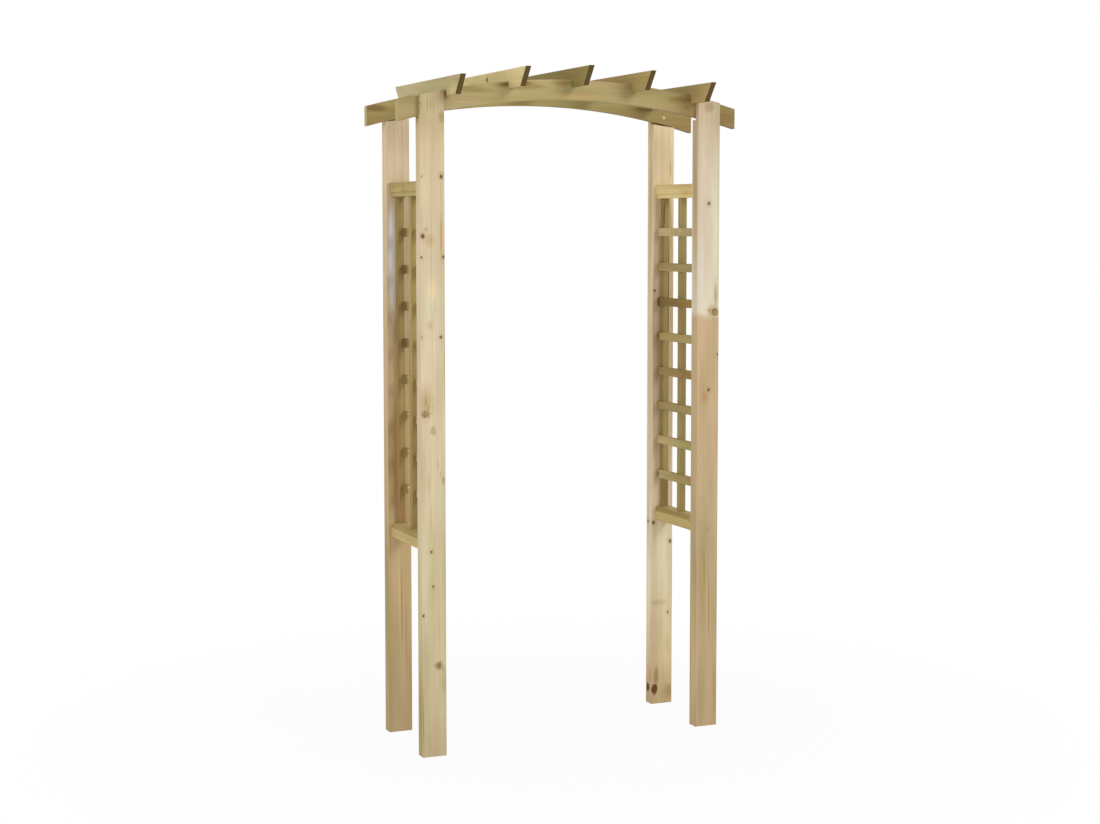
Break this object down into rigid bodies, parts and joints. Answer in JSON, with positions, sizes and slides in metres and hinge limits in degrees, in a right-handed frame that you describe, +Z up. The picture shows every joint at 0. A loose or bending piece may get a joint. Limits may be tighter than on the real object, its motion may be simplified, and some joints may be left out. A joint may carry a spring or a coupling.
{
  "type": "garden arch",
  "caption": "Wooden garden arch: rectangular posts carry curved beams and slanted-end rafters, with a lattice trellis panel in each side for climbing plants.",
  "frame": {"origin": "on the ground, midway between the four posts", "axes": "+Z up, +X across the passage to the right, -Y to the front"},
  "size_m": [1.187, 0.631, 2.2003],
  "materials": {
    "post_wood": "planed pale pine, lightly treated",
    "beam_wood": "planed pine, green-brown treated",
    "rafter_wood": "planed pine, green-brown treated",
    "trellis_wood": "planed pine, green-brown treated",
    "dowel_wood": "plain beech",
    "fastener_steel": "yellow-zinc plated"
  },
  "bodies": {
    "root": {"post_front_left": "post_wood", "post_front_right": "post_wood", "post_back_left": "post_wood", "post_back_right": "post_wood", "arch_beam_front": "beam_wood", "arch_beam_back": "beam_wood", "rafter_1": "rafter_wood", "rafter_2": "rafter_wood", "rafter_3": "rafter_wood", "rafter_4": "rafter_wood", "rafter_5": "rafter_wood", "trellis_top_rail_left": "trellis_wood", "trellis_bottom_rail_left": "trellis_wood", "trellis_upright_front_left": "trellis_wood", "trellis_upright_middle_left": "trellis_wood", "trellis_upright_back_left": "trellis_wood", "trellis_lath_1_left": "trellis_wood", "trellis_lath_2_left": "trellis_wood", "trellis_lath_3_left": "trellis_wood", "trellis_lath_4_left": "trellis_wood", "trellis_lath_5_left": "trellis_wood", "trellis_lath_6_left": "trellis_wood", "trellis_lath_7_left": "trellis_wood", "trellis_lath_8_left": "trellis_wood", "trellis_nails_left": "fastener_steel", "trellis_top_rail_right": "trellis_wood", "trellis_bottom_rail_right": "trellis_wood", "trellis_upright_front_right": "trellis_wood", "trellis_upright_middle_right": "trellis_wood", "trellis_upright_back_right": "trellis_wood", "trellis_lath_1_right": "trellis_wood", "trellis_lath_2_right": "trellis_wood", "trellis_lath_3_right": "trellis_wood", "trellis_lath_4_right": "trellis_wood", "trellis_lath_5_right": "trellis_wood", "trellis_lath_6_right": "trellis_wood", "trellis_lath_7_right": "trellis_wood", "trellis_lath_8_right": "trellis_wood", "trellis_nails_right": "fastener_steel", "beam_screws": "fastener_steel", "rafter_screws": "fastener_steel", "rail_dowels": "dowel_wood"}
  },
  "joints": []
}
